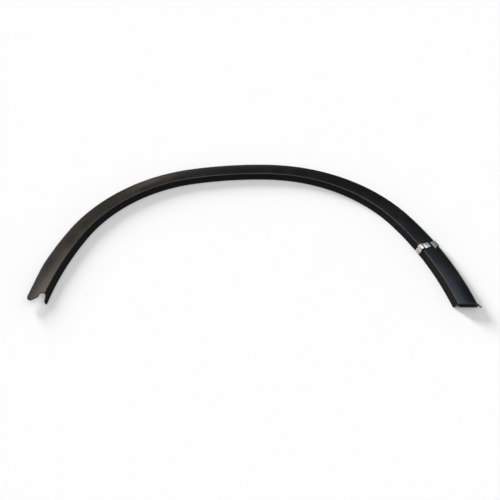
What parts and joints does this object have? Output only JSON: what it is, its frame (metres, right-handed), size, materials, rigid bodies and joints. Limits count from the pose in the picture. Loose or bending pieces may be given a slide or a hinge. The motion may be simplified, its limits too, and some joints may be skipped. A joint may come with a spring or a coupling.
{
  "type": "wheel arch trim",
  "caption": "Arched black moulding that edges a car's wheel opening, with a satin face, a rounded rim, a return flange, shaped ends and a wrapped steel spring clip.",
  "frame": {"origin": "middle of the footprint, on the plane of the back edges of rim and flange", "axes": "+X along the line of the two cut ends, +Y towards the crown of the arch, +Z out of the car body, on the show side"},
  "size_m": [0.7644, 0.3756, 0.0142],
  "materials": {
    "black_plastic": "satin black moulded plastic",
    "spring_steel": "bright rolled spring steel"
  },
  "bodies": {
    "root": {"arch_moulding": "black_plastic", "spring_clip": "spring_steel"}
  },
  "joints": []
}
